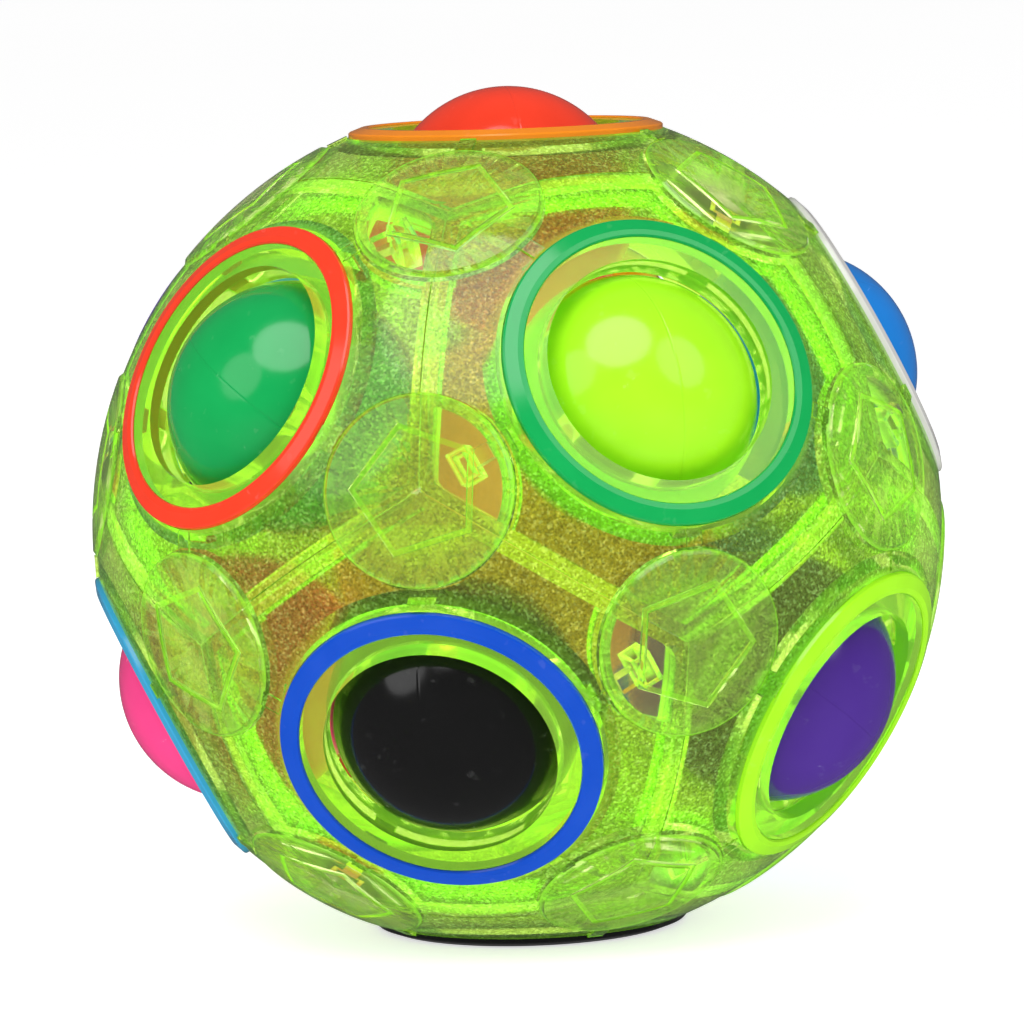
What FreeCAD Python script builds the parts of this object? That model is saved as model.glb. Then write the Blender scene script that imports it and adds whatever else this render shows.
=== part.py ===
import FreeCAD, Part
import math
import os

import Sketcher
from FreeCAD import Placement, Rotation, Vector

# A ball puzzle: a hollow sphere of twelve five-sided plates, each with a ringed tunnel. Eleven coloured
# balls sit in the tunnels from inside, a soft core ball holds them out, and one tunnel stays empty.
# Every sub-part is drawn about the centre of the sphere, and its Placement turns it to its own place.

# Driving sizes, in millimetres: alias, value, what it is. A value that starts with = follows others.
SIZES = [
    ("shell_radius", 35.0, "outer radius of the shell plates"),
    ("shell_wall", 1.8, "thickness of the shell plates"),
    ("ball_radius", 10.2, "radius of a coloured ball"),
    ("ball_hold", 0.8, "how much less the radius of a tunnel is than that of a ball"),
    ("hole_radius", "=ball_radius - ball_hold", "radius of each tunnel"),
    ("ball_sink", 7.0, "how far the middle of a seated ball lies under the lip around its tunnel"),
    ("ball_proud", "=ball_radius - ball_sink", "how far a seated ball stands out of the lip"),
    ("seat_gap", 0.2, "clearance between a seated ball and its seat"),
    ("seat_width", 0.15, "width of the hollowed seat at the inner edge of the tunnel"),
    ("lip_width", 1.95, "width of the lip between a tunnel and its ring"),
    ("ring_inner", "=hole_radius + lip_width", "inner radius of a coloured ring"),
    ("ring_width", 1.6, "width of a coloured ring"),
    ("ring_outer", "=ring_inner + ring_width", "outer radius of a coloured ring"),
    ("ring_proud", 0.35, "how far a ring stands out of the shell"),
    ("ring_crown", 0.55, "how far the flat crown of a ring reaches from its inner edge"),
    ("ring_bevel", 0.12, "bevel along the edges of a ring"),
    ("ring_depth", 1.9, "depth of the ring's seat below the lip"),
    ("ring_fit", 0.05, "clearance on each side of a ring in its seat"),
    ("tab_width", 2.0, "width of a snap tab under a ring"),
    ("tab_thickness", 0.6, "thickness of a snap tab"),
    ("tab_hook", 0.35, "how far the hook of a tab reaches under the plate"),
    ("tab_end", 0.5, "height of the hook of a tab"),
    ("tab_gap", 0.1, "clearance round a tab in its slot"),
    ("seam_gap", 0.12, "gap between two plates along a seam"),
    ("flange_width", 0.95, "thickness of the flange along a seam"),
    ("flange_depth", 1.5, "how far a flange reaches inward from the wall"),
    ("cap_radius", 7.6, "radius of a corner cap"),
    ("cap_proud", 0.25, "how far a cap stands out of the shell"),
    ("cap_rim", 0.75, "thickness of a cap at its rim"),
    ("cap_bevel", 0.3, "bevel round the rim of a cap"),
    ("cap_fit", 0.08, "clearance round a cap in its seat"),
    ("ledge_wall", 1.2, "thickness of the plate under a cap"),
    ("line_radius", 5.5, "radius out to the corners of the line engraved in a cap"),
    ("line_width", 0.45, "width of the engraved line"),
    ("line_depth", 0.25, "depth of the engraved line at its corners"),
    ("latch_wall", 1.05, "thickness of the curved wall of a latch pocket"),
    ("latch_reach", 1.0, "how far the curved wall of a latch pocket reaches inward"),
    ("latch_round", 1.8, "radius of the inner corner of a latch pocket"),
    ("hook_place", 3.9, "distance of a cap's hook from the middle of the cap"),
    ("hook_length", 2.7, "size of a cap's hook across the line to the middle"),
    ("hook_width", 1.7, "size of a cap's hook along the line to the middle"),
    ("hook_wall", 0.4, "wall of the hollow hook"),
    ("hook_depth", 2.0, "how far the hook reaches inward"),
    ("rib_width", 1.3, "width of the rib between a ring and a cap"),
    ("rib_proud", 0.2, "how far that rib stands out of the shell"),
    ("core_gap", 0.25, "clearance between the core and the seated balls"),
    ("core_wall", 2.0, "wall of the hollow core"),
    ("vent_radius", 1.0, "radius of the vent in the core"),
]

# The colour of the ring and of the ball at each hole. The bottom hole is the empty one.
HOLES = {
    "top": ("orange", "red"),
    "upper_1": ("green", "lime"),
    "upper_2": ("white", "azure"),
    "upper_3": ("yellow", "orange"),
    "upper_4": ("purple", "cyan"),
    "upper_5": ("red", "green"),
    "lower_1": ("blue", "black"),
    "lower_2": ("lime", "purple"),
    "lower_3": ("azure", "blue"),
    "lower_4": ("pink", "yellow"),
    "lower_5": ("cyan", "pink"),
    "bottom": ("black", None),
}

# A cap that is only let in and glued: it has no hook, and its plates have no latch pocket.
PLAIN_CAP = "cap_lower_5"

# Angles of the twelve-sided layout: between neighbouring hole axes, and from a hole axis to the middle
# of a seam and to a corner.
SIDES = 5
TURN = 360 / SIDES
HOLE_ANGLE = math.degrees(math.atan(2))
SEAM_ANGLE = HOLE_ANGLE / 2
CORNER_ANGLE = math.degrees(math.acos(math.sqrt((5 + 2 * math.sqrt(5)) / 15)))
FRONT = -90.0
HALF_SEAM = 22.0
PENTAGON_TURN = 5.0
FAR = 60.0

# Lengths worked out from the driving sizes, measured from the centre of the sphere.
INNER = "(sizes.shell_radius - sizes.shell_wall)"
LIP = "sqrt(sizes.shell_radius^2 - sizes.ring_inner^2)"
BALL_CENTRE = f"({LIP} + sizes.ball_proud - sizes.ball_radius)"
SEAT_EDGE = "(sizes.hole_radius + sizes.seat_width)"
SEAT_RADIUS = "(sizes.ball_radius + sizes.seat_gap)"
UNDERSIDE = f"({BALL_CENTRE} + sqrt({SEAT_RADIUS}^2 - {SEAT_EDGE}^2))"
RING_FLOOR = f"({LIP} - sizes.ring_depth)"
RING_TOP = "(sizes.shell_radius + sizes.ring_proud)"
CROWN_EDGE = "(sizes.ring_inner + sizes.ring_crown)"
CROWN = f"sqrt({RING_TOP}^2 - {CROWN_EDGE}^2)"
SEAT_WALL = "(sizes.ring_outer + sizes.ring_fit)"
CAP_TOP = "(sizes.shell_radius + sizes.cap_proud)"
CAP_HOLE = "(sizes.cap_radius + sizes.cap_fit)"
LEDGE = f"(sqrt({CAP_TOP}^2 - sizes.cap_radius^2) - sizes.cap_rim - sizes.cap_bevel / 2)"
PAD = f"({LEDGE} - sizes.ledge_wall)"
LATCH_RADIUS = "(sizes.cap_radius - sizes.latch_wall)"
CORE_RADIUS = f"({BALL_CENTRE} - sizes.ball_radius - sizes.core_gap)"
TAB_INNER = "(sizes.ring_outer - 3 * sizes.ring_bevel - sizes.tab_thickness)"
TAB_OUTER = "(sizes.ring_outer - 3 * sizes.ring_bevel)"

doc = FreeCAD.newDocument("ball_puzzle")
sheet = doc.addObject("Spreadsheet::Sheet", "sizes")
for row, (alias, value, note) in enumerate(SIZES, start=1):
    sheet.set(f"A{row}", note)
    sheet.set(f"B{row}", str(value))
    sheet.setAlias(f"B{row}", alias)
doc.recompute()


def direction(polar, azimuth):
    """Unit vector at a polar angle from +Z and an azimuth, both in degrees."""
    tilt = math.radians(polar)
    turn = math.radians(azimuth)
    return Vector(math.sin(tilt) * math.cos(turn), math.sin(tilt) * math.sin(turn), math.cos(tilt))


def hole_axes():
    """Outward axis of every hole by its place. The lower row starts at the front."""
    axes = {"top": Vector(0, 0, 1), "bottom": Vector(0, 0, -1)}
    for k in range(SIDES):
        axes[f"upper_{k + 1}"] = direction(HOLE_ANGLE, FRONT + TURN * (k + 0.5))
        axes[f"lower_{k + 1}"] = direction(180 - HOLE_ANGLE, FRONT + TURN * k)
    return axes


def corners():
    """The three holes around every corner, by the name of its cap. The first one holds the cap's hook."""
    found = {}
    for k in range(SIDES):
        this = k + 1
        following = this % SIDES + 1
        found[f"cap_top_{this}"] = (f"upper_{this}", f"upper_{following}", "top")
        found[f"cap_upper_{this}"] = (f"upper_{following}", f"upper_{this}", f"lower_{following}")
        found[f"cap_lower_{this}"] = (f"lower_{this}", f"lower_{following}", f"upper_{this}")
        found[f"cap_bottom_{this}"] = (f"lower_{following}", f"lower_{this}", "bottom")
    return found


AXES = hole_axes()
CORNERS = corners()


def corner_axis(cap):
    """Unit vector through the middle of a cap."""
    total = Vector(0, 0, 0)
    for hole in CORNERS[cap]:
        total = total.add(AXES[hole])
    return total.normalize()


def place(body, axis, towards):
    """Turn a body's +Z to an axis and its +X towards another direction, about the centre of the sphere."""
    z = Vector(axis).normalize()
    x = towards.sub(z * towards.dot(z)).normalize()
    body.Placement = Placement(Vector(0, 0, 0), Rotation(x, z.cross(x), z, "ZXY"))
    body.setExpression("Placement.Base.z", CROWN)


def caps_of(hole):
    """The caps round a hole, in order, starting with any one, as seen from outside."""
    axis = AXES[hole]
    around = [cap for cap, holes in CORNERS.items() if hole in holes]
    first = corner_axis(around[0])
    side = axis.cross(first)

    def turn(cap):
        place_of_cap = corner_axis(cap)
        return math.atan2(place_of_cap.dot(side), place_of_cap.dot(first) - axis.dot(first) ** 2) % (2 * math.pi)

    return sorted(around, key=turn)


def tilted(tilt, height, offset):
    """A point at a height along a ray tilted from +Z towards +X, and at an offset to the far side of it."""
    sine, cosine = math.sin(math.radians(tilt)), math.cos(math.radians(tilt))
    across = f"({height}) * {sine:.12f} + ({offset}) * {cosine:.12f}"
    up = f"({height}) * {cosine:.12f} - ({offset}) * {sine:.12f}"
    return across, up


def origin_feature(body, role):
    """An origin plane or axis of a body."""
    return next(item for item in body.Origin.OriginFeatures if item.Role == role)


def sketch_on(body, name, role, offset=None):
    """An empty sketch on an origin plane of the body, moved by an offset if one is given."""
    sketch = body.newObject("Sketcher::SketchObject", name)
    sketch.AttachmentSupport = (origin_feature(body, role), [""])
    sketch.MapMode = "FlatFace"
    if offset:
        sketch.AttachmentOffset = offset
    return sketch


def number(expression):
    """Value of a sheet expression."""
    value = sheet.evalExpression(expression)
    return float(getattr(value, "Value", value))


def pin(sketch, kind, geometry, point, expression):
    """Tie one coordinate of a point of the sketch to an expression."""
    index = sketch.addConstraint(
        Sketcher.Constraint(kind, -1, 1, geometry, point, number(expression))
    )
    sketch.setExpression(f"Constraints[{index}]", expression)


def draw(sketch, points, arcs=None):
    """A closed outline through points, each a pair of expressions.

    arcs gives the centre of each edge that is an arc, drawn anticlockwise unless it is marked so.
    """
    arcs = arcs or {}
    base = sketch.GeometryCount
    places = [Vector(number(x), number(y), 0) for x, y in points]
    count = len(points)
    for i in range(count):
        start, end = places[i], places[(i + 1) % count]
        if i in arcs:
            sketch.addGeometry(arc_edge(start, end, *arcs[i]), False)
        else:
            sketch.addGeometry(Part.LineSegment(start, end), False)
    first = [1 if i not in arcs or arcs[i][2] else 2 for i in range(count)]
    last = [3 - end for end in first]
    for i in range(count):
        following = (i + 1) % count
        sketch.addConstraint(
            Sketcher.Constraint("Coincident", base + i, last[i], base + following, first[following])
        )
    for i, (x, y) in enumerate(points):
        pin(sketch, "DistanceX", base + i, first[i], x)
        if (i - 1) % count not in arcs:
            pin(sketch, "DistanceY", base + i, first[i], y)
    for i, (x, y, _) in arcs.items():
        pin(sketch, "DistanceX", base + i, 3, x)
        pin(sketch, "DistanceY", base + i, 3, y)


def arc_edge(start, end, centre_x, centre_y, anticlockwise):
    """An arc about a centre from one point to another."""
    centre = Vector(number(centre_x), number(centre_y), 0)
    first, second = (start, end) if anticlockwise else (end, start)
    angles = [math.atan2(p.y - centre.y, p.x - centre.x) for p in (first, second)]
    circle = Part.Circle(centre, Vector(0, 0, 1), start.distanceToPoint(centre))
    return Part.ArcOfCircle(circle, angles[0], angles[1] if angles[1] > angles[0] else angles[1] + 2 * math.pi)


def add_axis(sketch, tilt):
    """A construction line through the centre of the sphere, to turn an outline about."""
    line = Part.LineSegment(
        Vector(0, 0, 0), Vector(math.sin(math.radians(tilt)), math.cos(math.radians(tilt)), 0)
    )
    index = sketch.addGeometry(line, True)
    sketch.addConstraint(Sketcher.Constraint("Coincident", index, 1, -1, 1))
    end_x, end_y = tilted(tilt, "1", "0")
    pin(sketch, "DistanceX", index, 2, end_x)
    pin(sketch, "DistanceY", index, 2, end_y)


def turned(body, name, sketch, axis="V_Axis", angle=360.0, cut=False):
    """A Revolution, or a Groove if it cuts, of a sketch about one of its axes, the same to both sides."""
    kind = "PartDesign::Groove" if cut else "PartDesign::Revolution"
    feature = body.newObject(kind, name)
    feature.Profile = sketch
    feature.ReferenceAxis = (sketch, [axis])
    feature.Angle = angle
    feature.Midplane = angle < 360
    sketch.Visibility = False
    return feature


def extruded(body, name, sketch, length, cut=False, middle=False, flip=False):
    """A Pad, or a Pocket if it cuts, of a sketch, with its length bound to an expression."""
    feature = body.newObject("PartDesign::Pocket" if cut else "PartDesign::Pad", name)
    feature.Profile = sketch
    feature.Length = number(length)
    feature.setExpression("Length", length)
    feature.Midplane = middle
    feature.Reversed = flip
    sketch.Visibility = False
    return feature


def repeated(body, name, features):
    """The same features at all five sides of a hole."""
    pattern = body.newObject("PartDesign::PolarPattern", name)
    pattern.Originals = features
    pattern.Axis = (origin_feature(body, "Z_Axis"), [""])
    pattern.Angle = 360
    pattern.Occurrences = SIDES
    body.Tip = pattern
    return pattern


def new_body(name):
    """A body with a label of its own."""
    body = doc.addObject("PartDesign::Body", name)
    body.Label = name
    return body


def plate_wall(body):
    """The curved wall of a plate with its tunnel and the seat of the ring."""
    sketch = sketch_on(body, "wall_outline", "XZ_Plane")
    rim = CORNER_ANGLE + 1.5
    inside = f"sqrt({INNER}^2 - {UNDERSIDE}^2)"
    points = [
        ("sizes.hole_radius", UNDERSIDE),
        ("sizes.hole_radius", LIP),
        ("sizes.ring_inner - sizes.ring_fit", LIP),
        ("sizes.ring_inner - sizes.ring_fit", RING_FLOOR),
        (SEAT_WALL, RING_FLOOR),
        (SEAT_WALL, f"sqrt(sizes.shell_radius^2 - {SEAT_WALL}^2)"),
        tilted(rim, "sizes.shell_radius", "0"),
        tilted(rim, INNER, "0"),
        (inside, UNDERSIDE),
    ]
    draw(sketch, points, {5: ("0", "0", False), 7: ("0", "0", True)})
    return turned(body, "wall", sketch)


def plate_flange(body):
    """The flange along one seam, curved about the centre of the sphere."""
    sketch = sketch_on(body, "flange_outline", "XZ_Plane")
    low = f"{INNER} - sizes.flange_depth"
    high = f"{INNER} + sizes.shell_wall / 3"
    width = "sizes.flange_width + sizes.seam_gap / 2"
    add_axis(sketch, 90 - SEAM_ANGLE)
    draw(sketch, [tilted(-SEAM_ANGLE, rise, off) for rise, off in
                  ((low, "0"), (low, width), (high, width), (high, "0"))])
    return turned(body, "flange", sketch, "Axis0", 2 * HALF_SEAM)


def plate_pad(body):
    """The thicker corner under a cap."""
    sketch = sketch_on(body, "pad_outline", "XZ_Plane")
    top = f"{INNER} + sizes.shell_wall / 6"
    edge = "-(sizes.cap_radius + sizes.ledge_wall / 2)"
    add_axis(sketch, CORNER_ANGLE)
    draw(sketch, [tilted(CORNER_ANGLE, rise, off) for rise, off in
                  ((PAD, "0"), (top, "0"), (top, edge), (PAD, edge))])
    return turned(body, "pad", sketch, "Axis0")


def plate_rib(body):
    """The small rib from the ring's seat to the cap."""
    sketch = sketch_on(body, "rib_outline", "XZ_Plane")
    top = "(sizes.shell_radius + sizes.rib_proud)"
    start = f"({SEAT_WALL} + sizes.ring_bevel)"
    end = f"(sizes.shell_radius * {math.sin(math.radians(CORNER_ANGLE)):.12f} - sizes.cap_radius * 0.75)"
    points = []
    for across in (start, end):
        points.append((across, f"sqrt({top}^2 - {across}^2)"))
    points.append((end, f"sqrt({INNER}^2 - {end}^2) + sizes.shell_wall / 2"))
    points.append((start, f"sqrt({INNER}^2 - {start}^2) + sizes.shell_wall / 2"))
    draw(sketch, points)
    return extruded(body, "rib", sketch, "sizes.rib_width", middle=True)


def seam_cut(body):
    """What lies past one seam."""
    sketch = sketch_on(body, "seam_outline", "XZ_Plane")
    edge = "sizes.seam_gap / 2"
    far = f"{FAR}"
    draw(sketch, [tilted(-SEAM_ANGLE, rise, off) for rise, off in
                  (("0", edge), (far, edge), (far, f"-{far}"), ("0", f"-{far}"))])
    return extruded(body, "seam", sketch, far, cut=True, middle=True)


def cap_seat_cut(body):
    """The recess that a cap lies in."""
    sketch = sketch_on(body, "cap_seat_outline", "XZ_Plane")
    add_axis(sketch, CORNER_ANGLE)
    top = "sizes.shell_radius + 2 * sizes.shell_wall"
    draw(sketch, [tilted(CORNER_ANGLE, rise, off) for rise, off in
                  ((LEDGE, "0"), (top, "0"), (top, f"-{CAP_HOLE}"), (LEDGE, f"-{CAP_HOLE}"))])
    return turned(body, "cap_seat", sketch, "Axis0", cut=True)


def tab_slot_cut(body):
    """The slot in the floor of the ring's seat that a snap tab goes through."""
    sketch = sketch_on(body, "slot_outline", "XZ_Plane")
    low = f"{UNDERSIDE} - sizes.tab_end"
    high = f"{RING_FLOOR} + sizes.ring_fit"
    inner = f"{TAB_INNER} - sizes.tab_gap"
    draw(sketch, [(inner, low), (SEAT_WALL, low), (SEAT_WALL, high), (inner, high)])
    return extruded(body, "slot", sketch, "sizes.tab_width + 2 * sizes.tab_gap", cut=True, middle=True)


def seat_cut(body):
    """The hollow that a ball meets, at the inner edge of the tunnel."""
    sketch = sketch_on(body, "seat_outline", "XZ_Plane")
    low, high = f"{BALL_CENTRE} - {SEAT_RADIUS}", f"{BALL_CENTRE} + {SEAT_RADIUS}"
    draw(sketch, [("0", low), ("0", high)], {0: ("0", BALL_CENTRE, True)})
    return turned(body, "seat", sketch, cut=True)


def latch_wall(body, side):
    """The curved wall of the latch pocket at one corner."""
    turn = Placement(Vector(0, 0, 0), Rotation(Vector(0, 1, 0), TURN * side))
    sketch = sketch_on(body, f"latch_outline_{side}", "XZ_Plane", turn)
    low, high = f"{PAD} - sizes.latch_reach", f"{PAD} + sizes.ledge_wall / 4"
    inner, outer = f"-{LATCH_RADIUS}", "-sizes.cap_radius"
    add_axis(sketch, CORNER_ANGLE)
    draw(sketch, [tilted(CORNER_ANGLE, rise, off) for rise, off in
                  ((low, inner), (high, inner), (high, outer), (low, outer))])
    return turned(body, f"latch_{side}", sketch, "Axis0", 120)


def latch_window(body, side):
    """The three-sided opening in the ledge that a cap's hook goes through."""
    tilt = Rotation(Vector(0, 0, 1), TURN * side).multiply(Rotation(Vector(0, 1, 0), CORNER_ANGLE))
    start = tilt.multVec(Vector(0, 0, number(LEDGE)))
    sketch = sketch_on(body, f"window_outline_{side}", "XY_Plane", Placement(start, tilt))
    for axis in "xyz":
        share = getattr(tilt.multVec(Vector(0, 0, 1)), axis)
        sketch.setExpression(f"AttachmentOffset.Base.{axis}", f"{LEDGE} * {share:.12f}")
    sine, cosine = math.sin(math.radians(60)), 0.5
    edge = "(sizes.flange_width + sizes.seam_gap / 2)"
    run = f"sqrt({LATCH_RADIUS}^2 - {edge}^2)"
    start_x = f"-({edge} / {sine:.12f} + sizes.latch_round * {cosine * cosine / sine:.12f})"
    start_y = f"(sizes.latch_round * {cosine:.12f})"
    end_x = f"-({edge} * {sine:.12f} + {run} * {cosine})"
    end_y = f"({run} * {sine:.12f} - {edge} * {cosine})"
    centre_x = f"-({edge} / {sine:.12f} + sizes.latch_round / {sine:.12f})"
    points = [(start_x, start_y), (end_x, end_y), (end_x, f"-{end_y}"), (start_x, f"-{start_y}")]
    draw(sketch, points, {1: ("0", "0", True), 3: (centre_x, "0", True)})
    return extruded(body, f"window_{side}", sketch, "2 * sizes.ledge_wall + sizes.latch_reach", cut=True)


def make_plate(hole):
    """One shell plate, with a latch pocket at each corner where it holds the cap's hook."""
    body = new_body(f"plate_{hole}")
    caps = caps_of(hole)
    hooked = [side for side, cap in enumerate(caps) if CORNERS[cap][0] == hole and cap != PLAIN_CAP]
    plate_wall(body)
    repeated(body, "sides", [plate_flange(body), plate_pad(body), plate_rib(body)])
    for side in hooked:
        latch_wall(body, side)
    cuts = [seam_cut(body), cap_seat_cut(body), tab_slot_cut(body)]
    repeated(body, "side_cuts", cuts)
    for side in hooked:
        latch_window(body, side)
    seat_cut(body)
    place(body, AXES[hole], corner_axis(caps[0]))
    return body


def ring_band(body):
    """The band of a ring, with a flat crown and a top that follows the shell."""
    sketch = sketch_on(body, "band_outline", "XZ_Plane")
    outer_top = f"sqrt({RING_TOP}^2 - (sizes.ring_outer - sizes.ring_bevel)^2)"
    points = [
        ("sizes.ring_inner", RING_FLOOR),
        ("sizes.ring_outer", RING_FLOOR),
        ("sizes.ring_outer", f"{outer_top} - sizes.ring_bevel"),
        ("sizes.ring_outer - sizes.ring_bevel", outer_top),
        (CROWN_EDGE, CROWN),
        ("sizes.ring_inner + sizes.ring_bevel", CROWN),
        ("sizes.ring_inner", f"{CROWN} - sizes.ring_bevel"),
    ]
    draw(sketch, points, {3: ("0", "0", True)})
    return turned(body, "band", sketch)


def ring_tab(body):
    """One snap tab, with a hook that grips under the plate."""
    sketch = sketch_on(body, "tab_outline", "XZ_Plane")
    low = f"{UNDERSIDE} - sizes.tab_gap - sizes.tab_end"
    grip = f"{UNDERSIDE} - sizes.tab_gap"
    high = f"{RING_FLOOR} + sizes.ring_bevel"
    points = [
        (TAB_INNER, low),
        (f"{TAB_INNER} + sizes.tab_thickness / 2", low),
        (f"{TAB_OUTER} + sizes.tab_hook", f"{grip} - sizes.tab_end / 4"),
        (f"{TAB_OUTER} + sizes.tab_hook", grip),
        (TAB_OUTER, grip),
        (TAB_OUTER, high),
        (TAB_INNER, high),
    ]
    draw(sketch, points)
    return extruded(body, "tab", sketch, "sizes.tab_width", middle=True)


def make_ring(hole):
    """One coloured ring with its five snap tabs."""
    body = new_body(f"ring_{HOLES[hole][0]}")
    ring_band(body)
    repeated(body, "tabs", [ring_tab(body)])
    place(body, AXES[hole], corner_axis(caps_of(hole)[0]))
    return body


def cap_disc(body):
    """The round disc of a cap, flat underneath and domed on top."""
    sketch = sketch_on(body, "disc_outline", "XZ_Plane")
    bevel_edge = "(sizes.cap_radius - sizes.cap_bevel)"
    shoulder = f"sqrt({CAP_TOP}^2 - {bevel_edge}^2)"
    points = [
        ("0", LEDGE),
        ("sizes.cap_radius", LEDGE),
        ("sizes.cap_radius", f"{shoulder} - sizes.cap_bevel"),
        (bevel_edge, shoulder),
        ("0", CAP_TOP),
    ]
    draw(sketch, points, {3: ("0", "0", True)})
    return turned(body, "disc", sketch)


def cap_line(body):
    """The five-sided line engraved in the top of a cap."""
    floor = f"sqrt({CAP_TOP}^2 - sizes.line_radius^2) - sizes.line_depth"
    above = Placement(Vector(0, 0, number(floor)), Rotation())
    sketch = sketch_on(body, "line_outline", "XY_Plane", above)
    sketch.setExpression("AttachmentOffset.Base.z", floor)
    inner = f"(sizes.line_radius - sizes.line_width / {math.cos(math.radians(TURN / 2)):.12f})"
    for radius in ("sizes.line_radius", inner):
        points = []
        for k in range(SIDES):
            angle = math.radians(PENTAGON_TURN + TURN * k)
            points.append((f"{radius} * {math.cos(angle):.12f}", f"{radius} * {math.sin(angle):.12f}"))
        draw(sketch, points)
    return extruded(body, "line", sketch, "2 * sizes.shell_wall", cut=True, flip=True)


def cap_block(body, name, near, far, half, depth, cut=False):
    """A rectangular block or hole under a cap, from one distance along +X to another."""
    below = Placement(Vector(0, 0, number(LEDGE)), Rotation())
    sketch = sketch_on(body, f"{name}_outline", "XY_Plane", below)
    sketch.setExpression("AttachmentOffset.Base.z", LEDGE)
    draw(sketch, [(near, f"-{half}"), (far, f"-{half}"), (far, half), (near, half)])
    return extruded(body, name, sketch, depth, cut=cut, flip=not cut)


def cap_hook(body):
    """The hollow hook under a cap, with the rib that steadies it."""
    near = "(sizes.hook_place - sizes.hook_width / 2)"
    far = "(sizes.hook_place + sizes.hook_width / 2)"
    rib_end = f"({LATCH_RADIUS} - 2 * sizes.cap_fit)"
    cap_block(body, "hook", near, far, "(sizes.hook_length / 2)", "sizes.hook_depth")
    cap_block(body, "hook_rib", f"({far} - sizes.hook_wall / 2)", rib_end,
              "(sizes.hook_length / 4)", "(sizes.hook_depth / 2)")
    cap_block(body, "hook_bore", f"({near} + sizes.hook_wall)", f"({far} - sizes.hook_wall)",
              "(sizes.hook_length / 2 - sizes.hook_wall)", "(sizes.hook_depth * 2)", cut=True)


def make_cap(cap):
    """One corner cap, with the hook towards the plate that holds it."""
    body = new_body(cap)
    cap_disc(body)
    cap_line(body)
    if cap != PLAIN_CAP:
        cap_hook(body)
    place(body, corner_axis(cap), AXES[CORNERS[cap][0]])
    return body


def make_ball(hole):
    """One coloured ball, seated in its tunnel."""
    body = new_body(f"ball_{HOLES[hole][1]}")
    sketch = sketch_on(body, "ball_outline", "XZ_Plane")
    low, high = f"{BALL_CENTRE} - sizes.ball_radius", f"{BALL_CENTRE} + sizes.ball_radius"
    draw(sketch, [("0", low), ("0", high)], {0: ("0", BALL_CENTRE, True)})
    turned(body, "ball", sketch)
    place(body, AXES[hole], corner_axis(caps_of(hole)[0]))
    return body


def make_core():
    """The soft hollow core with its vent."""
    body = new_body("core")
    outer = sketch_on(body, "core_outline", "XZ_Plane")
    draw(outer, [("0", f"-{CORE_RADIUS}"), ("0", CORE_RADIUS)], {0: ("0", "0", True)})
    turned(body, "core_ball", outer)
    hollow = f"({CORE_RADIUS} - sizes.core_wall)"
    inner = sketch_on(body, "hollow_outline", "XZ_Plane")
    draw(inner, [("0", f"-{hollow}"), ("0", hollow)], {0: ("0", "0", True)})
    turned(body, "hollow", inner, cut=True)
    vent = sketch_on(body, "vent_outline", "XZ_Plane")
    draw(vent, [("0", "0"), ("sizes.vent_radius", "0"), ("sizes.vent_radius", "sizes.shell_radius"),
                ("0", "sizes.shell_radius")])
    turned(body, "vent", vent, cut=True)
    place(body, Vector(0, 0, 1), Vector(1, 0, 0))
    return body


def check(bodies):
    """Stop if anything in the document failed or any sub-part isn't one valid solid."""
    failed = [o.Name for o in doc.Objects if "Invalid" in o.State or "Error" in o.State]
    if failed:
        raise RuntimeError(f"failed objects: {failed}")
    for body in bodies:
        shape = body.Shape
        if shape.isNull() or not shape.isValid() or len(shape.Solids) != 1:
            raise RuntimeError(f"{body.Label}: not one valid solid")


def main():
    bodies = [make_plate(hole) for hole in HOLES]
    bodies += [make_ring(hole) for hole in HOLES]
    bodies += [make_cap(cap) for cap in CORNERS]
    bodies += [make_ball(hole) for hole in HOLES if HOLES[hole][1]]
    bodies.append(make_core())
    doc.recompute()
    check(bodies)
    os.makedirs("parts", exist_ok=True)
    for body in bodies:
        body.Shape.exportStep(f"parts/{body.Label}.step")


main()
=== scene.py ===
"""Looks of the ball puzzle: materials, finer balls, floor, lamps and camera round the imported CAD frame."""

import math

import bmesh
import bpy
from bpy.props import FloatProperty, FloatVectorProperty, IntProperty, PointerProperty
from mathutils import Matrix, Vector


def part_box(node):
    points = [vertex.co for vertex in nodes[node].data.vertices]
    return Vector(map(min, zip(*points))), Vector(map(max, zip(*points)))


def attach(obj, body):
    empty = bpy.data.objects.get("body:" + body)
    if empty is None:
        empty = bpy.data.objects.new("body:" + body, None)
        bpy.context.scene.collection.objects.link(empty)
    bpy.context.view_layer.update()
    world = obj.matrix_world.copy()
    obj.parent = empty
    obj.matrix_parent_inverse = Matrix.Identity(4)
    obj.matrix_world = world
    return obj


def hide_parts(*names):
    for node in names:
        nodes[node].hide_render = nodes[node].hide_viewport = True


bl_info = {
    "name": "Ball puzzle looks",
    "version": (1, 0, 0),
    "blender": (4, 5, 0),
    "location": "3D View > Sidebar > Ball puzzle",
    "description": "Gives the packed ball puzzle its plastics, finer balls, floor, lamps and camera",
    "category": "Object",
}

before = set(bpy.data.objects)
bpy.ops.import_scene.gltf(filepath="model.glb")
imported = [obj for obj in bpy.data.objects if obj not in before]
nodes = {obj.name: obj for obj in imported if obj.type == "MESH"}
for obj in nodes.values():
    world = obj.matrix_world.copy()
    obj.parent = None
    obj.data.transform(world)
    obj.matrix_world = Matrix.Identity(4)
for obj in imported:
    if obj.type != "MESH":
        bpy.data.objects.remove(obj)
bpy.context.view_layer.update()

RINGED = sorted(name.removeprefix("ring_") for name in nodes if name.startswith("ring_"))
BALLS = sorted(name.removeprefix("ball_") for name in nodes if name.startswith("ball_"))


def middle(name):
    """Centre of a CAD node's box."""
    low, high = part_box(name)
    return (low + high) / 2


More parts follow.
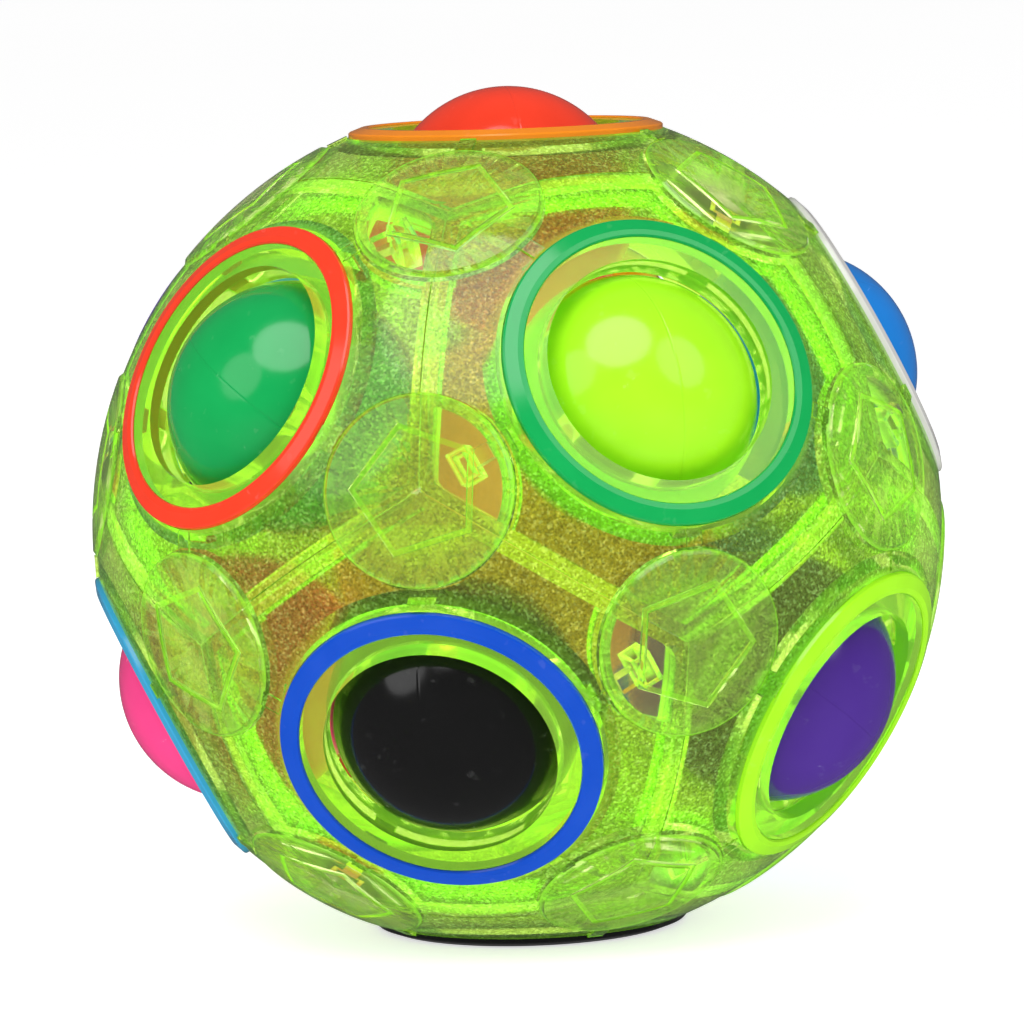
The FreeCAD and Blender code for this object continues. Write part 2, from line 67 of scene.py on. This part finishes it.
def sphere_centre():
    """Centre of the shell: halfway between the crowns of the top and bottom rings."""
    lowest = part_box("ring_black")[0].z
    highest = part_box("ring_orange")[1].z
    return Vector((0, 0, (lowest + highest) / 2))


CENTRE = sphere_centre()
SHELL_RADIUS = max(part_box(name)[1].x for name in nodes if name.startswith("plate_"))


def direction(azimuth, elevation):
    """Unit vector at an azimuth and elevation in degrees, from -Y towards +X."""
    turn, rise = math.radians(azimuth), math.radians(elevation)
    return Vector((math.sin(turn) * math.cos(rise), -math.cos(turn) * math.cos(rise), math.sin(rise)))


# One end of each line through two opposite holes: the top hole's, and those of the lower row of five.
HOLE_RISE = math.degrees(math.atan(2)) - 90
HOLE_AXES = [Vector((0, 0, 1))] + [direction(72 * k, HOLE_RISE) for k in range(5)]

# Depths below the outside of the shell, each as where a change starts and where it is complete, in metres:
# where flanges and collars begin under a plate, where the hook begins under a cap, where a cap's rim and
# engraved line begin under its raised face and where they end, and where a ball is well inside the shell.
PLATE_END = (0.00195, 0.0024)
CAP_END = (0.0019, 0.0023)
CAP_FACE = (-0.00018, -0.00006)
LINE_FLOOR = (0.0009, 0.0006)
BALL_INSIDE = (0.0035, 0.006)

# Edges of the noise that shows as scratches, and how the noise is turned and stretched into long thin ones.
SCRATCH_EDGES = (0.66, 0.72)
SCRATCH_TURN = (0.6, 0.3, 0.9)
SCRATCH_STRETCH = (1.0, 0.06, 1.0)

# Distance from a hole's axis where the smooth tunnel and its collar end, in metres.
COLLAR_END = (0.0131, 0.0136)

# Distance from the nearest hole's axis, over distance from the centre, where a cap starts to cover a seam.
CAP_START = (0.535, 0.55)

# Painted glints: the flakes, which are real, are lightened towards this colour as if they caught the light.
FLAKE_GLINT_COLOUR = (1.0, 0.98, 0.62)

# Turn between the parting lines of one ball and the next, so that no two face the same way.
LINE_TURN = math.radians(137.5)

# Each softbox: name, azimuth and elevation in degrees, distance and width in metres, power in watts.
SOFTBOXES = (
    ("top_softbox", 0, 62, 0.55, 0.5, 1.9),
    ("left_softbox", -40, 30, 0.6, 0.4, 0.5),
    ("right_softbox", 70, 35, 0.6, 0.45, 0.7),
)


# Settings ---------------------------------------------------------------------------------------


def colour(name, description, value):
    """A colour setting."""
    return FloatVectorProperty(name=name, description=description, default=value, subtype="COLOR",
                               min=0, max=1, size=3)


def length(name, description, value):
    """A length setting, in metres."""
    return FloatProperty(name=name, description=description, default=value, unit="LENGTH", precision=5)


def level(name, description, value):
    """A strength setting."""
    return FloatProperty(name=name, description=description, default=value, min=0)


class PuzzleColours(bpy.types.PropertyGroup):
    """Colours of the plastics."""

    shell: colour("Shell", "Clear green of the plates", (0.65, 0.92, 0.13))
    cap: colour("Cap", "Paler clear green of the caps", (0.88, 0.96, 0.42))
    # Painted glow colour: flanges, tunnel walls, cap lines and hooks give it off in place of light caught in
    # the clear plastic.
    glow: colour("Glow", "Light green that the edges of the clear plastic give off", (0.33, 0.87, 0.055))
    core: colour("Core", "Soft core", (0.92, 0.34, 0.05))
    orange: colour("Orange", "Orange ring and ball", (0.93, 0.27, 0.01))
    green: colour("Green", "Green ring and ball", (0.004, 0.38, 0.085))
    white: colour("White", "White ring", (0.72, 0.71, 0.68))
    yellow: colour("Yellow", "Yellow ring and ball", (0.95, 0.62, 0.02))
    purple: colour("Purple", "Purple ring and ball", (0.070, 0.024, 0.27))
    red: colour("Red", "Red ring and ball", (0.92, 0.05, 0.018))
    blue: colour("Blue", "Blue ring and ball", (0.003, 0.07, 0.54))
    lime: colour("Lime", "Lime ring and ball", (0.40, 0.93, 0.015))
    azure: colour("Azure", "Azure ring and ball", (0.008, 0.21, 0.68))
    pink: colour("Pink", "Pink ring and ball", (0.95, 0.055, 0.26))
    cyan: colour("Cyan", "Cyan ring and ball", (0.04, 0.38, 0.66))
    black: colour("Black", "Black ring and ball", (0.006, 0.006, 0.006))


class PuzzleSizes(bpy.types.PropertyGroup):
    """Sizes of what the looks add."""

    line_width: length("Parting line", "Width of the parting line round a ball", 0.00016)
    line_depth: length("Parting depth", "Depth of the parting line round a ball", 0.00005)
    gate_radius: length("Gate mark", "Radius of the moulding mark on a ball", 0.0006)
    segments: IntProperty(name="Segments", description="Faces round a ball", default=128, min=16)
    floor_size: length("Floor", "Side of the floor", 12.0)


class PuzzleLight(bpy.types.PropertyGroup):
    """How much painted glow the plastics give off, and how much light the floor and the surroundings give
    off.
    """

    # Painted glow of the plates' flanges along the seams and of their tunnel walls:
    seam: level("Seams", "Flanges along the seams of the plates", 0.55)
    covered_seam: level("Covered seams", "Flanges under the caps", 0.2)
    tunnel: level("Tunnels", "Wall of a tunnel within its plate", 0.08)
    collar: level("Collars", "Wall of a tunnel below its plate", 0.18)
    # Painted glints of the flakes:
    flakes: level("Flakes", "Bright flakes in the plates", 0.17)
    # Painted glow of the caps' rims, engraved lines and hooks:
    cap_line: level("Cap lines", "Rim and engraved line of a cap", 0.3)
    cap_hook: level("Cap hooks", "Hook under a cap", 0.4)
    # Painted glow on the side of a ball inside the shell:
    hidden_side: level("Hidden side", "Side of a ball that lies inside the shell", 0.3)
    # Painted glow of the core:
    core: level("Core", "Soft core", 0.34)
    floor: level("Floor", "Floor", 0.74)
    sheen: level("Sheen", "Surroundings in reflections", 0.1)
    ambient: level("Ambient", "Surroundings on plain surfaces", 0.4)
    behind: level("Behind", "Surroundings behind clear plastic", 1.2)


# Shader node groups -----------------------------------------------------------------------------


def new_group(name, inputs, outputs):
    """An empty shader node group with named sockets. Each one is (name, type, default)."""
    group = bpy.data.node_groups.new(name, "ShaderNodeTree")
    for title, kind, default in inputs:
        socket = group.interface.new_socket(title, in_out="INPUT", socket_type=kind)
        if default is not None:
            socket.default_value = default
    for title, kind in outputs:
        group.interface.new_socket(title, in_out="OUTPUT", socket_type=kind)
    return group


def add(tree, kind, **values):
    """A node with some of its settings set, and plain inputs by their place: in_3 is the fourth."""
    node = tree.nodes.new(kind)
    for key, value in values.items():
        if key.startswith("in_"):
            node.inputs[int(key[3:])].default_value = value
        else:
            setattr(node, key, value)
    return node


def math_node(tree, operation, first, second=None):
    """A Math node. Each operand is a socket or a number."""
    node = add(tree, "ShaderNodeMath", operation=operation)
    for i, value in enumerate((first, second)):
        if value is None:
            continue
        if isinstance(value, (int, float)):
            node.inputs[i].default_value = value
        else:
            tree.links.new(value, node.inputs[i])
    return node.outputs[0]


def remap(tree, value, low, high, to_low, to_high):
    """A Map Range node, clamped."""
    node = add(tree, "ShaderNodeMapRange")
    for socket, given in zip(node.inputs, (value, low, high, to_low, to_high)):
        if isinstance(given, (int, float)):
            socket.default_value = given
        else:
            tree.links.new(given, socket)
    return node.outputs[0]


def times(tree, first, second):
    """A product of sockets or numbers."""
    return math_node(tree, "MULTIPLY", first, second)


def plus(tree, first, second):
    """A sum of sockets or numbers."""
    return math_node(tree, "ADD", first, second)


def inside(tree, radius, depths, low=0.0, high=1.0):
    """From low to high between two depths below the outside of the shell."""
    start, end = depths
    return remap(tree, radius, SHELL_RADIUS - start, SHELL_RADIUS - end, low, high)


def place_group():
    """How far a point is from the middle of the shell, and from the nearest line through two holes."""
    group = new_group(
        "Shell place",
        [("Centre", "NodeSocketVector", None)],
        [("Radius", "NodeSocketFloat"), ("Off", "NodeSocketFloat")],
    )
    enter, leave = group.nodes.new("NodeGroupInput"), group.nodes.new("NodeGroupOutput")
    where = add(group, "ShaderNodeTexCoord")
    arm = add(group, "ShaderNodeVectorMath", operation="SUBTRACT")
    group.links.new(where.outputs["Object"], arm.inputs[0])
    group.links.new(enter.outputs["Centre"], arm.inputs[1])
    size = add(group, "ShaderNodeVectorMath", operation="LENGTH")
    group.links.new(arm.outputs[0], size.inputs[0])
    radius = size.outputs["Value"]
    along = None
    for axis in HOLE_AXES:
        dot = add(group, "ShaderNodeVectorMath", operation="DOT_PRODUCT")
        group.links.new(arm.outputs[0], dot.inputs[0])
        dot.inputs[1].default_value = axis
        reach = math_node(group, "ABSOLUTE", dot.outputs["Value"])
        along = reach if along is None else math_node(group, "MAXIMUM", along, reach)
    squares = [times(group, value, value) for value in (radius, along)]
    difference = math_node(group, "MAXIMUM", math_node(group, "SUBTRACT", *squares), 0.0)
    group.links.new(radius, leave.inputs["Radius"])
    group.links.new(math_node(group, "SQRT", difference), leave.inputs["Off"])
    return group


def glitter_group():
    """Fine bright flakes and sandy grain in clear plastic, and a slow cloudiness."""
    group = new_group(
        "Glitter",
        [("Flake size", "NodeSocketFloat", 0.0002), ("Share", "NodeSocketFloat", 0.3),
         ("Cloud size", "NodeSocketFloat", 0.006)],
        [("Flakes", "NodeSocketFloat"), ("Grain", "NodeSocketFloat"), ("Cloud", "NodeSocketFloat")],
    )
    enter, leave = group.nodes.new("NodeGroupInput"), group.nodes.new("NodeGroupOutput")
    where = add(group, "ShaderNodeTexCoord")
    cells = add(group, "ShaderNodeTexVoronoi", feature="F1")
    group.links.new(where.outputs["Object"], cells.inputs["Vector"])
    group.links.new(math_node(group, "DIVIDE", 1.0, enter.outputs["Flake size"]), cells.inputs["Scale"])
    tone = add(group, "ShaderNodeSeparateColor")
    group.links.new(cells.outputs["Color"], tone.inputs[0])
    edge = math_node(group, "SUBTRACT", 1.0, enter.outputs["Share"])
    bright = remap(group, tone.outputs[0], edge, 1.0, 0.0, 1.0)
    group.links.new(bright, leave.inputs["Flakes"])
    group.links.new(tone.outputs[1], leave.inputs["Grain"])
    cloud = add(group, "ShaderNodeTexNoise", in_3=1.0)
    group.links.new(where.outputs["Object"], cloud.inputs["Vector"])
    group.links.new(math_node(group, "DIVIDE", 1.0, enter.outputs["Cloud size"]), cloud.inputs["Scale"])
    group.links.new(cloud.outputs[0], leave.inputs["Cloud"])
    return group


def handling_group():
    """Marks of handling on glossy plastic: smudges, hair scratches and a faint moulded ripple."""
    group = new_group(
        "Handling",
        [("Smudge size", "NodeSocketFloat", 0.004), ("Scratch size", "NodeSocketFloat", 0.0012),
         ("Ripple size", "NodeSocketFloat", 0.0025)],
        [("Smudge", "NodeSocketFloat"), ("Scratch", "NodeSocketFloat"), ("Ripple", "NodeSocketFloat")],
    )
    enter, leave = group.nodes.new("NodeGroupInput"), group.nodes.new("NodeGroupOutput")
    where = add(group, "ShaderNodeTexCoord")
    for size, output, detail in (("Smudge size", "Smudge", 4.0), ("Ripple size", "Ripple", 1.0)):
        noise = add(group, "ShaderNodeTexNoise", in_3=detail)
        group.links.new(where.outputs["Object"], noise.inputs["Vector"])
        group.links.new(math_node(group, "DIVIDE", 1.0, enter.outputs[size]), noise.inputs["Scale"])
        group.links.new(noise.outputs[0], leave.inputs[output])
    stretch = add(group, "ShaderNodeMapping")
    stretch.inputs["Rotation"].default_value = SCRATCH_TURN
    stretch.inputs["Scale"].default_value = SCRATCH_STRETCH
    group.links.new(where.outputs["Object"], stretch.inputs["Vector"])
    lines = add(group, "ShaderNodeTexNoise", in_3=2.0)
    group.links.new(stretch.outputs[0], lines.inputs["Vector"])
    group.links.new(math_node(group, "DIVIDE", 1.0, enter.outputs["Scratch size"]), lines.inputs["Scale"])
    group.links.new(remap(group, lines.outputs[0], *SCRATCH_EDGES, 0.0, 1.0), leave.inputs["Scratch"])
    return group


made_groups = {}


def use_group(tree, make):
    """A node for a shared group, which is made the first time it is asked for."""
    if make not in made_groups:
        made_groups[make] = make()
    return add(tree, "ShaderNodeGroup", node_tree=made_groups[make])


def shell_place(tree):
    """Outputs of the shared group that says where a point lies in the shell."""
    node = use_group(tree, place_group)
    node.inputs["Centre"].default_value = CENTRE
    return node.outputs


# Materials --------------------------------------------------------------------------------------


def new_material(name):
    """An empty node material and its Principled shader."""
    material = bpy.data.materials.new(name)
    material.use_nodes = True
    tree = material.node_tree
    shader = tree.nodes["Principled BSDF"]
    return material, tree, shader


def blend_colour(tree, amount, first, second):
    """A mix of two colours by a socket."""
    node = add(tree, "ShaderNodeMix", data_type="RGBA")
    tree.links.new(amount, node.inputs[0])
    for socket, value in ((node.inputs[6], first), (node.inputs[7], second)):
        if isinstance(value, (tuple, list)):
            socket.default_value = (*value, 1.0)
        else:
            tree.links.new(value, socket)
    return node.outputs[2]


def shade(tone, factor):
    """A colour made lighter or darker."""
    return tuple(min(1.0, channel * factor) for channel in tone)


def glow_with(tree, shader, amount, tone):
    """Painted glow: light of one colour, as strong as a socket says."""
    tree.links.new(blend_colour(tree, amount, (0.0, 0.0, 0.0), tone), shader.inputs["Emission Color"])
    shader.inputs["Emission Strength"].default_value = 1.0


def finish_clear(shader, clearness, coat_roughness):
    """Settings that every clear plastic here shares."""
    shader.inputs["IOR"].default_value = 1.42
    shader.inputs["Transmission Weight"].default_value = clearness
    shader.inputs["Coat Weight"].default_value = 0.3
    shader.inputs["Coat Roughness"].default_value = coat_roughness


def add_bump(tree, shader, height, strength, distance):
    """Fine relief of a surface."""
    bump = add(tree, "ShaderNodeBump")
    bump.inputs["Strength"].default_value = strength
    bump.inputs["Distance"].default_value = distance
    tree.links.new(height, bump.inputs["Height"])
    tree.links.new(bump.outputs[0], shader.inputs["Normal"])


def plate_light(tree, glow, radius, off, inner, near):
    """How strongly a plate's painted glow shines: its flanges, less under the caps, and the walls of its
    tunnel.
    """
    seam = remap(tree, math_node(tree, "DIVIDE", off, radius), *CAP_START, glow.seam, glow.covered_seam)
    flange = times(tree, inner, math_node(tree, "SUBTRACT", 1.0, near))
    tunnel = times(tree, near, remap(tree, inner, 0.0, 1.0, glow.tunnel, glow.collar))
    return plus(tree, times(tree, flange, seam), tunnel)


def plate_plastic(colours, glow):
    """Clear lime plastic, sandy with glitter, smooth round the tunnels, with painted glints on its flakes
    and a painted glow along its inner edges.
    """
    material, tree, shader = new_material("clear_plate_plastic")
    place = shell_place(tree)
    radius, off = place["Radius"], place["Off"]
    inner = inside(tree, radius, PLATE_END)
    near = remap(tree, off, *COLLAR_END, 1.0, 0.0)
    sandy = math_node(tree, "SUBTRACT", 1.0, math_node(tree, "MAXIMUM", inner, near))
    glitter = use_group(tree, glitter_group)
    grain = times(tree, glitter.outputs["Grain"], sandy)
    flakes = times(tree, glitter.outputs["Flakes"], sandy)
    cloudy = shade(colours.shell, 0.92), shade(colours.shell, 1.04)
    base = blend_colour(tree, glitter.outputs["Cloud"], *cloudy)
    base = blend_colour(tree, times(tree, grain, 0.75), base, shade(colours.shell, 0.25))
    # Painted glints: the flakes are lightened towards a pale colour.
    base = blend_colour(tree, times(tree, flakes, 0.7), base, FLAKE_GLINT_COLOUR)
    tree.links.new(base, shader.inputs["Base Color"])
    rough = plus(tree, times(tree, grain, 0.12), 0.03)
    tree.links.new(plus(tree, rough, times(tree, sandy, 0.03)), shader.inputs["Roughness"])
    # Painted glow along the flanges and the tunnel walls.
    light = plate_light(tree, glow, radius, off, inner, near)
    # The flakes add their painted glints to the glow.
    glow_with(tree, shader, plus(tree, light, times(tree, flakes, glow.flakes)), tuple(colours.glow))
    finish_clear(shader, 0.92, 0.3)
    add_bump(tree, shader, glitter.outputs["Grain"], 0.2, 0.00003)
    return material


def cap_plastic(colours, glow):
    """Paler clear plastic of the caps, smooth, with painted shade and a painted glow at the rim and the
    engraved line, and a painted glow at the hook.
    """
    material, tree, shader = new_material("clear_cap_plastic")
    radius = shell_place(tree)["Radius"]
    line = times(tree, inside(tree, radius, CAP_FACE), inside(tree, radius, LINE_FLOOR))
    hook = inside(tree, radius, CAP_END)
    glitter = use_group(tree, glitter_group)
    base = blend_colour(tree, glitter.outputs["Cloud"], shade(colours.cap, 0.93), shade(colours.cap, 1.02))
    base = blend_colour(tree, times(tree, glitter.outputs["Grain"], 0.25), base, shade(colours.cap, 0.6))
    # Painted shade: the rim and the engraved line are made a darker green.
    base = blend_colour(tree, times(tree, line, 0.55), base, shade(colours.shell, 0.5))
    tree.links.new(base, shader.inputs["Base Color"])
    tree.links.new(remap(tree, glitter.outputs["Grain"], 0.0, 1.0, 0.04, 0.1), shader.inputs["Roughness"])
    # Painted glow at the rim, the engraved line and the hook.
    light = plus(tree, times(tree, line, glow.cap_line), times(tree, hook, glow.cap_hook))
    glow_with(tree, shader, light, tuple(colours.glow))
    finish_clear(shader, 0.96, 0.08)
    add_bump(tree, shader, glitter.outputs["Grain"], 0.15, 0.00002)
    return material


def glossy_plastic(name, tone, glow):
    """Opaque plastic with a moulded gloss and light marks of handling, and a painted glow of its own colour
    where it is inside the shell.
    """
    material, tree, shader = new_material(f"{name}_plastic")
    radius = shell_place(tree)["Radius"]
    marks = use_group(tree, handling_group)
    scratch = marks.outputs["Scratch"]
    worn = tuple(min(1.0, channel + 0.04) for channel in tone)
    base = blend_colour(tree, marks.outputs["Smudge"], shade(tone, 0.9), shade(tone, 1.08))
    base = blend_colour(tree, times(tree, scratch, 0.35), base, worn)
    tree.links.new(base, shader.inputs["Base Color"])
    rough = remap(tree, marks.outputs["Smudge"], 0.3, 0.7, 0.12, 0.2)
    tree.links.new(plus(tree, rough, times(tree, scratch, 0.1)), shader.inputs["Roughness"])
    shader.inputs["IOR"].default_value = 1.5
    shader.inputs["Coat Weight"].default_value = 0.2
    shader.inputs["Coat Roughness"].default_value = 0.1
    # Painted glow: the side inside the shell gives off its own colour in place of light reaching it through
    # the shell.
    glow_with(tree, shader, inside(tree, radius, BALL_INSIDE, 0.0, glow.hidden_side), base)
    add_bump(tree, shader, marks.outputs["Ripple"], 0.3, 0.00003)
    return material


def soft_plastic(colours, glow):
    """Soft matt rubber of the core, with a painted glow of its own colour in place of light inside the
    shell.
    """
    material, tree, shader = new_material("soft_core_plastic")
    marks = use_group(tree, handling_group)
    base = blend_colour(tree, marks.outputs["Smudge"], shade(colours.core, 0.88), shade(colours.core, 1.06))
    tree.links.new(base, shader.inputs["Base Color"])
    tree.links.new(remap(tree, marks.outputs["Ripple"], 0.0, 1.0, 0.42, 0.55), shader.inputs["Roughness"])
    # Painted glow in the core's own colour.
    tree.links.new(base, shader.inputs["Emission Color"])
    shader.inputs["Emission Strength"].default_value = glow.core
    add_bump(tree, shader, marks.outputs["Ripple"], 0.3, 0.00005)
    return material


def floor_paint(glow):
    """Plain pale floor with a very faint mottle."""
    material, tree, shader = new_material("pale_floor")
    noise = add(tree, "ShaderNodeTexNoise", in_2=6.0)
    base = blend_colour(tree, noise.outputs[0], (0.88, 0.88, 0.88), (0.92, 0.92, 0.92))
    tree.links.new(base, shader.inputs["Base Color"])
    shader.inputs["Roughness"].default_value = 0.7
    tree.links.new(base, shader.inputs["Emission Color"])
    shader.inputs["Emission Strength"].default_value = glow.floor
    return material


def give(piece, material):
    """Put one material in every slot of a piece."""
    if not piece.data.materials:
        piece.data.materials.append(material)
    for i in range(len(piece.data.materials)):
        piece.data.materials[i] = material


# Pieces -----------------------------------------------------------------------------------------


def ball_rows(radius, sizes):
    """Polar angle and radius of each row of a ball's corners: gate mark, smooth side and parting line."""
    gate = sizes.gate_radius / radius
    rows = [(gate * 0.5, radius - sizes.line_depth), (gate, radius - sizes.line_depth), (gate * 1.3, radius)]
    half_line = sizes.line_width / radius / 2
    start, stop = gate * 2.5, math.pi / 2 - half_line * 2
    count = sizes.segments // 4
    rows += [(start + (stop - start) * i / count, radius) for i in range(count + 1)]
    rows += [(math.pi / 2 - half_line, radius), (math.pi / 2, radius - sizes.line_depth)]
    lower = [(math.pi - angle, size) for angle, size in reversed(rows[3:-1])]
    return rows + lower


def ball_mesh(name, radius, sizes):
    """A moulded ball with a sunk gate mark at one pole and a fine parting line round its middle."""
    mesh = bpy.data.meshes.new(name)
    shape = bmesh.new()
    count = sizes.segments
    loops = []
    for angle, size in ball_rows(radius, sizes):
        loop = []
        for k in range(count):
            turn = 2 * math.pi * k / count
            across = size * math.sin(angle)
            corner = (across * math.cos(turn), across * math.sin(turn), size * math.cos(angle))
            loop.append(shape.verts.new(corner))
        loops.append(loop)
    top = shape.verts.new((0, 0, radius - sizes.line_depth))
    bottom = shape.verts.new((0, 0, -radius))
    for k in range(count):
        following = (k + 1) % count
        shape.faces.new((top, loops[0][k], loops[0][following]))
        shape.faces.new((bottom, loops[-1][following], loops[-1][k]))
        for upper, lower in zip(loops, loops[1:]):
            shape.faces.new((upper[k], lower[k], lower[following], upper[following]))
    for face in shape.faces:
        face.smooth = True
    bmesh.ops.recalc_face_normals(shape, faces=shape.faces)
    shape.to_mesh(mesh)
    shape.free()
    return mesh


def link(name, mesh):
    """An object in the scene for a mesh."""
    piece = bpy.data.objects.new(name, mesh)
    bpy.context.scene.collection.objects.link(piece)
    return piece


def moulded_ball(name, turn, radius, sizes):
    """A ball at its CAD place, with its gate mark and parting line turned to one side."""
    centre = middle(f"ball_{name}")
    outward = (centre - CENTRE).normalized()
    across = outward.orthogonal().normalized()
    across.rotate(Matrix.Rotation(turn, 3, outward))
    stand = Vector((0, 0, 1)).rotation_difference(across).to_matrix().to_4x4()
    piece = link(f"moulded_ball_{name}", ball_mesh(f"moulded_ball_{name}", radius, sizes))
    piece.data.transform(Matrix.Translation(centre) @ stand)
    return piece


class PUZZLE_OT_shell(bpy.types.Operator):
    """Give the shell plates and corner caps their clear plastic"""

    bl_idname = "puzzle.shell"
    bl_label = "Shell plates and caps"

    def execute(self, context):
        settings = context.scene.puzzle_colours, context.scene.puzzle_light
        for prefix, material in (("plate_", plate_plastic(*settings)), ("cap_", cap_plastic(*settings))):
            for name, node in nodes.items():
                if name.startswith(prefix):
                    give(node, material)
        return {"FINISHED"}


class PUZZLE_OT_rings(bpy.types.Operator):
    """Give the rings their coloured plastics"""

    bl_idname = "puzzle.rings"
    bl_label = "Rings"

    def execute(self, context):
        colours, glow = context.scene.puzzle_colours, context.scene.puzzle_light
        for name in RINGED:
            give(nodes[f"ring_{name}"], glossy_plastic(f"ring_{name}", getattr(colours, name), glow))
        return {"FINISHED"}


class PUZZLE_OT_balls(bpy.types.Operator):
    """Make the coloured balls, with a gate mark and a parting line"""

    bl_idname = "puzzle.balls"
    bl_label = "Balls"

    def execute(self, context):
        colours, glow = context.scene.puzzle_colours, context.scene.puzzle_light
        extents = [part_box(f"ball_{name}") for name in BALLS]
        radius = max(max(high - low) for low, high in extents) / 2
        for k, name in enumerate(BALLS):
            piece = moulded_ball(name, LINE_TURN * k, radius, context.scene.puzzle_sizes)
            give(piece, glossy_plastic(f"ball_{name}", getattr(colours, name), glow))
            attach(piece, f"{name}_ball")
            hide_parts(f"ball_{name}")
        return {"FINISHED"}


class PUZZLE_OT_core(bpy.types.Operator):
    """Give the core its soft rubber"""

    bl_idname = "puzzle.core"
    bl_label = "Core"

    def execute(self, context):
        give(nodes["core"], soft_plastic(context.scene.puzzle_colours, context.scene.puzzle_light))
        return {"FINISHED"}


def add_floor(side, glow):
    """A large plain floor that stays out of reflections."""
    mesh = bpy.data.meshes.new("floor")
    half = side / 2
    corners = [(-half, -half, 0), (half, -half, 0), (half, half, 0), (-half, half, 0)]
    mesh.from_pydata(corners, [], [range(4)])
    floor = link("floor", mesh)
    give(floor, floor_paint(glow))
    floor.visible_glossy = False


def add_lamp(name, azimuth, elevation, distance, size, power):
    """A round softbox that faces the middle of the puzzle."""
    lamp = bpy.data.lights.new(name, "AREA")
    lamp.shape = "DISK"
    lamp.size = size
    lamp.energy = power
    holder = bpy.data.objects.new(name, lamp)
    holder.location = CENTRE + direction(azimuth, elevation) * distance
    holder.rotation_euler = (CENTRE - holder.location).to_track_quat("-Z", "Y").to_euler()
    bpy.context.scene.collection.objects.link(holder)


def add_world(glow):
    """White surroundings, with less light in reflections and on plain surfaces than behind clear ones."""
    world = bpy.data.worlds.new("studio")
    world.use_nodes = True
    tree = world.node_tree
    rays = add(tree, "ShaderNodeLightPath")
    background = tree.nodes["Background"]
    background.inputs["Color"].default_value = (1, 1, 1, 1)
    strength = remap(tree, rays.outputs["Is Glossy Ray"], 0.0, 1.0, glow.ambient, glow.sheen)
    for flag, value in (("Is Transmission Ray", glow.behind), ("Is Camera Ray", 1.0)):
        strength = remap(tree, rays.outputs[flag], 0.0, 1.0, strength, value)
    tree.links.new(strength, background.inputs["Strength"])
    bpy.context.scene.world = world


def add_camera(azimuth, elevation, roll, distance, lens, shift):
    """A long lens that looks at the middle of the puzzle."""
    camera = bpy.data.cameras.new("camera")
    camera.lens = lens
    camera.shift_x, camera.shift_y = shift
    camera.clip_start = 0.01
    camera.clip_end = 50
    holder = bpy.data.objects.new("camera", camera)
    holder.location = CENTRE + direction(azimuth, elevation) * distance
    look = (CENTRE - holder.location).to_track_quat("-Z", "Y").to_matrix()
    look = look @ Matrix.Rotation(math.radians(roll), 3, "Z")
    holder.rotation_euler = look.to_euler()
    bpy.context.scene.collection.objects.link(holder)
    bpy.context.scene.camera = holder


class PUZZLE_OT_stage(bpy.types.Operator):
    """Add the floor, the lamps, the white surroundings and the camera"""

    bl_idname = "puzzle.stage"
    bl_label = "Stage"

    def execute(self, context):
        glow = context.scene.puzzle_light
        add_floor(context.scene.puzzle_sizes.floor_size, glow)
        add_world(glow)
        for softbox in SOFTBOXES:
            add_lamp(*softbox)
        add_camera(azimuth=13.2, elevation=6.12, roll=-1.9, distance=0.515, lens=218.5,
                   shift=(-0.0065, 0.0124))
        context.scene.view_settings.view_transform = "Standard"
        return {"FINISHED"}


class PUZZLE_PT_panel(bpy.types.Panel):
    """Sidebar panel with the settings and steps"""

    bl_label = "Ball puzzle"
    bl_idname = "PUZZLE_PT_panel"
    bl_space_type = "VIEW_3D"
    bl_region_type = "UI"
    bl_category = "Ball puzzle"

    def draw(self, context):
        for step in STEPS:
            self.layout.operator(f"puzzle.{step}")
        for title, kind in SETTINGS.items():
            for name in kind.__annotations__:
                self.layout.prop(getattr(context.scene, title), name)


SETTINGS = {"puzzle_sizes": PuzzleSizes, "puzzle_colours": PuzzleColours, "puzzle_light": PuzzleLight}
STEPS = ("shell", "rings", "balls", "core", "stage")
CLASSES = (*SETTINGS.values(), PUZZLE_OT_shell, PUZZLE_OT_rings, PUZZLE_OT_balls, PUZZLE_OT_core,
           PUZZLE_OT_stage, PUZZLE_PT_panel)


def register():
    """Make the settings, steps and panel known to Blender."""
    for item in CLASSES:
        bpy.utils.register_class(item)
    for title, kind in SETTINGS.items():
        setattr(bpy.types.Scene, title, PointerProperty(type=kind))


def unregister():
    """Take the settings, steps and panel away again."""
    for title in SETTINGS:
        delattr(bpy.types.Scene, title)
    for item in reversed(CLASSES):
        bpy.utils.unregister_class(item)


def main():
    """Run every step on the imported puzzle."""
    register()
    for step in STEPS:
        getattr(bpy.ops.puzzle, step)()


if __name__ == "__main__":
    main()
